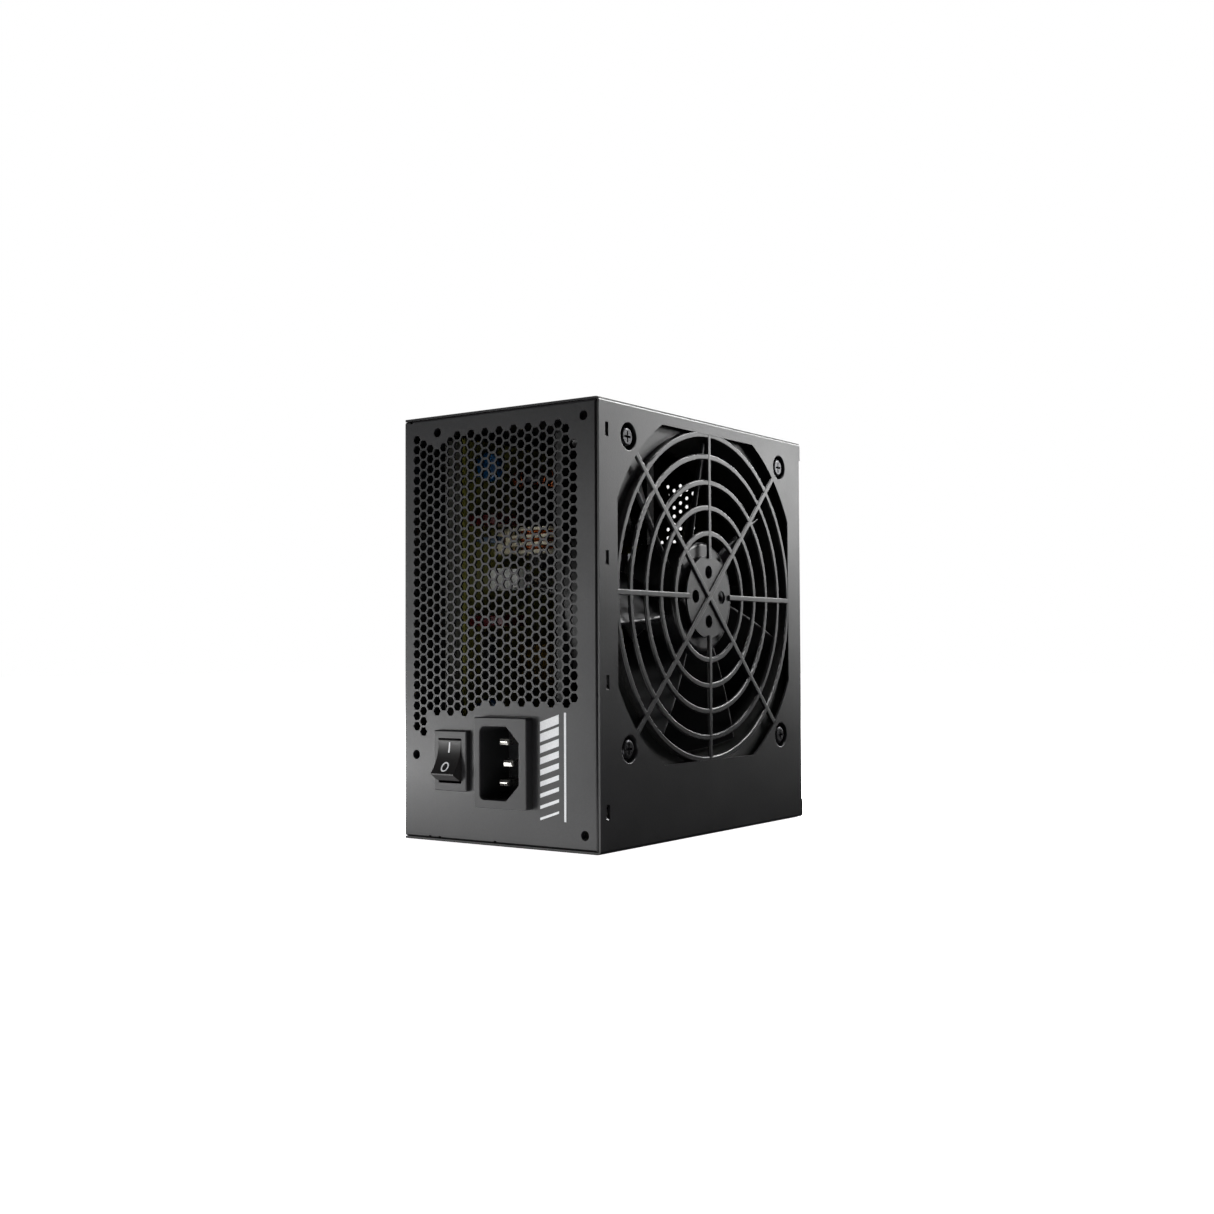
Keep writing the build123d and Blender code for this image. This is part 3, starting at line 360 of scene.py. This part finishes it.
# %% Face of the rocker
JOINTS = {joint["name"]: joint for joint in frame["joints"]}
PIVOT = Vector(JOINTS["switch_rock"]["pos_m"])
TILT_ON = math.radians(20.0)
FACE_END = 4.4 * MM
FACE_MIDDLE = 3.1 * MM
FACE_HALF = 6.4 * MM


def face_height(along):
    """How far the dished face stands from the pivot, at a distance along it from its middle."""
    sag = FACE_END - FACE_MIDDLE
    radius = (FACE_HALF ** 2 + sag ** 2) / (2 * sag)
    return FACE_MIDDLE + radius - math.sqrt(radius ** 2 - along ** 2)


def onto_face(mesh):
    """Lay a mesh drawn in X and Z about the pivot onto the rocker's face, tipped to its rest position."""
    for vertex in mesh.verts:
        vertex.co.y -= face_height(vertex.co.z)
    bmesh.ops.rotate(mesh, verts=mesh.verts, cent=(0, 0, 0), matrix=Matrix.Rotation(-TILT_ON, 3, "X"))
    bmesh.ops.translate(mesh, verts=mesh.verts, vec=PIVOT)


print("the dish is", round((FACE_END - face_height(0)) / MM, 2), "mm deep at its middle")

# %% [markdown]
# ## Bar and ring
# The bar is a grid with rows enough to bend. The ring is a capped circle, stretched a little, inset all round
# to the width of its stroke and then opened in the middle.

# %% Bar and ring
BAR_SIZE = (0.55 * MM, 3.5 * MM)
BAR_UP = 3.6 * MM
RING_RADIUS = 1.6 * MM
RING_STRETCH = 1.15
RING_STROKE = 0.5 * MM
RING_DOWN = 3.4 * MM

bar = bmesh.new()
bmesh.ops.create_grid(bar, x_segments=2, y_segments=8, size=0.5, matrix=UPRIGHT)
bmesh.ops.scale(bar, verts=bar.verts, vec=(BAR_SIZE[0], 1, BAR_SIZE[1]))
bmesh.ops.translate(bar, verts=bar.verts, vec=(0, 0, BAR_UP))
raise_flat(bar, INK)
onto_face(bar)
finish_piece(bar, "on_mark", ink, "switch_rocker")

ring = bmesh.new()
bmesh.ops.create_circle(ring, segments=48, radius=RING_RADIUS, matrix=UPRIGHT, cap_ends=True)
bmesh.ops.scale(ring, verts=ring.verts, vec=(1, 1, RING_STRETCH))
bmesh.ops.inset_region(ring, faces=ring.faces[:], thickness=RING_STROKE, use_boundary=True,
                       use_even_offset=True)
centre_face = max(ring.faces, key=lambda f: len(f.verts))
bmesh.ops.delete(ring, geom=[centre_face], context="FACES")
bmesh.ops.translate(ring, verts=ring.verts, vec=(0, 0, -RING_DOWN))
raise_flat(ring, INK)
onto_face(ring)
finish_piece(ring, "off_mark", ink, "switch_rocker")

# %% [markdown]
# ## The print beside the inlet
# The panel is printed in pale grey between the inlet and the fan side, with a plain graded band: slanted bars
# that grow from thin to thick, with one thin line beside them.

# %% Panel print
PANEL_Y = -70.0 * MM
PRINT_X = (18.6 * MM, 26.4 * MM)
PRINT_Z = (10.0 * MM, 46.0 * MM)
LINE_X = (28.6 * MM, 29.4 * MM)
BARS = 9
SLANT = 2.6 * MM
THINNEST = 0.22
THICKENING = 0.6


def flat_bar(mesh, x, z, slant):
    """A parallelogram in the panel's plane."""
    corners = [(x[0], z[0]), (x[1], z[0] + slant), (x[1], z[1] + slant), (x[0], z[1])]
    mesh.faces.new([mesh.verts.new((cx, 0, cz)) for cx, cz in corners])


print_mesh = bmesh.new()
step = (PRINT_Z[1] - PRINT_Z[0] - SLANT) / BARS
for i in range(BARS):
    foot = PRINT_Z[0] + i * step
    share = THINNEST + THICKENING * i / (BARS - 1)
    flat_bar(print_mesh, PRINT_X, (foot, foot + share * step), SLANT)
flat_bar(print_mesh, LINE_X, PRINT_Z, 0.0)
raise_flat(print_mesh, INK)
bmesh.ops.translate(print_mesh, verts=print_mesh.verts, vec=(0, PANEL_Y, 0))
finish_piece(print_mesh, "panel_print", ink, "root")

# %% [markdown]
# ## The screen behind the cable wall's vent
# The openings that show through the fan are small, so a thin punched screen lies behind the hexagons of the
# cable wall, one round hole to each hexagon. It is built from equal cells: twelve points round a hexagonal
# tile are joined to twelve on the hole, and the tiles are welded where they meet.

# %% Punched screen
SCREEN_Y = 68.9 * MM
SCREEN_THICK = 0.2 * MM
CELL_PITCH = 3.65 * MM
CELL_COLUMN = CELL_PITCH * math.cos(math.radians(30))
SCREEN_START = (-35.4 * MM, 102.0 * MM)
SCREEN_COUNT = 10
HOLE_RADIUS = 0.8 * MM
POINTS = 12


def screen_cell(mesh, x, z):
    """One hexagonal tile with a round hole, in the XZ plane."""
    rim, hole = [], []
    for k in range(POINTS):
        angle = math.tau * k / POINTS
        reach = CELL_PITCH / 2 / (math.cos(math.radians(30)) if k % 2 == 0 else 1.0)
        for ring_points, radius in ((rim, reach), (hole, HOLE_RADIUS)):
            ring_points.append(mesh.verts.new((x + radius * math.cos(angle), 0, z + radius * math.sin(angle))))
    for k in range(POINTS):
        following = (k + 1) % POINTS
        mesh.faces.new((rim[k], rim[following], hole[following], hole[k]))


screen = bmesh.new()
for column in range(SCREEN_COUNT):
    for row in range(SCREEN_COUNT):
        screen_cell(screen, SCREEN_START[0] + column * CELL_COLUMN,
                    SCREEN_START[1] + (row + (column % 2) / 2) * CELL_PITCH)
bmesh.ops.remove_doubles(screen, verts=screen.verts, dist=0.01 * MM)
raise_flat(screen, SCREEN_THICK)
bmesh.ops.translate(screen, verts=screen.verts, vec=(0, SCREEN_Y, 0))
punched_steel = metal("punched_steel", "#1b1b1c", "#262627", 0.5, 0.6, 0.004)
finish_piece(screen, "vent_screen", punched_steel, "root")

# %% [markdown]
# ## Studio
# The unit stands on a white sheet under white light, so everything behind it is pure white to the camera. The
# case itself is lit only by softboxes: a world that answers camera rays with white and all other rays with a
# dim grey does both at once, and the floor sheet is kept out of the reflections in the same way.

# %% Floor and world
FLOOR_HALF = 4.0
FLOOR_DROP = 0.3 * MM
AMBIENT = 0.03

sheet, tree, shader, place = start("white_paper")
shader.inputs["Base Color"].default_value = linear("#ffffff")
shader.inputs["Roughness"].default_value = 0.9
tree.links.new(spread(tree, mottle(tree, place, 60.0), 1.0, 1.1), shader.inputs["Emission Strength"])
shader.inputs["Emission Color"].default_value = linear("#ffffff")

floor_mesh = bmesh.new()
bmesh.ops.create_grid(floor_mesh, x_segments=1, y_segments=1, size=FLOOR_HALF)
bmesh.ops.translate(floor_mesh, verts=floor_mesh.verts, vec=(0, 0, -FLOOR_DROP))
floor_data = bpy.data.meshes.new("floor")
floor_mesh.to_mesh(floor_data)
floor_mesh.free()
floor_data.materials.append(sheet)
floor = bpy.data.objects.new("floor", floor_data)
bpy.context.scene.collection.objects.link(floor)
floor.visible_glossy = False
floor.visible_diffuse = False
floor.visible_shadow = False

world = bpy.data.worlds.new("studio")
bpy.context.scene.world = world
world.use_nodes = True
sky = world.node_tree.nodes["Background"]
seen = add(world.node_tree, "ShaderNodeLightPath").outputs["Is Camera Ray"]
level = add(world.node_tree, "ShaderNodeMapRange", {"To Min": AMBIENT, "To Max": 1.0}, {"Value": seen})
sky.inputs["Color"].default_value = linear("#ffffff")
world.node_tree.links.new(level.outputs["Result"], sky.inputs["Strength"])
print("floor", 2 * FLOOR_HALF, "m wide, ambient light", AMBIENT)

# %% [markdown]
# ## Lights
# Each painted face works as a blurred mirror, so a softbox is placed where that face would reflect it towards
# the camera: the fan face looks past the unit to the right, and brightens upwards; the panel looks to the left,
# and brightens downwards, where it meets the lit table top. A softbox is given by the compass angle from +X,
# its height in degrees, its size and its power in watts, and it stands a metre from the middle of the case.

# %% Lights
CASE_MIDDLE = Vector((0.0, 0.0, 0.075))
SOFTBOXES = [
    ("key", 60, 10, (0.20, 0.16), 0.87),
    ("key_low", 74, 2, (0.20, 0.16), 0.49),
    ("key_far", 86, 2, (0.20, 0.16), 0.80),
    ("key_wide", 80, 10, (0.20, 0.16), 0.27),
    ("key_high", 85, 20, (0.20, 0.16), 3.5),
    ("key_top", 56, 26, (0.20, 0.16), 5.0),
    ("hair", 70, 50, (0.20, 0.16), 2.5),
    ("panel", 238, 3, (0.26, 0.20), 0.59),
    ("panel_left", 205, 3, (0.26, 0.20), 0.41),
    ("overhead", 60, 85, (0.40, 0.40), 19.0),
]
TABLE_GLOW = [
    ("table_near", (-0.02, -0.16), (0.30, 0.17), 0.38),
    ("table_left", (-0.30, -0.25), (0.25, 0.30), 3.5),
]


def area_light(name, spot, size, power, aim):
    """A rectangular area light that the camera doesn't see, shining along a direction."""
    data = bpy.data.lights.new(name, "AREA")
    data.shape = "RECTANGLE"
    data.size, data.size_y = size
    data.energy = power
    lamp = bpy.data.objects.new(name, data)
    lamp.location = spot
    lamp.rotation_euler = Vector(aim).to_track_quat("-Z", "Y").to_euler()
    lamp.visible_camera = False
    bpy.context.scene.collection.objects.link(lamp)


for name, compass, height, size, power in SOFTBOXES:
    a, h = math.radians(compass), math.radians(height)
    outward = Vector((math.cos(a) * math.cos(h), math.sin(a) * math.cos(h), math.sin(h)))
    area_light(name, CASE_MIDDLE + outward, size, power, -outward)
for name, (x, y), size, power in TABLE_GLOW:
    area_light(name, (x, y, -MM), size, power, (0, 0, 1))
print(len(SOFTBOXES), "softboxes,", len(TABLE_GLOW), "table glows")
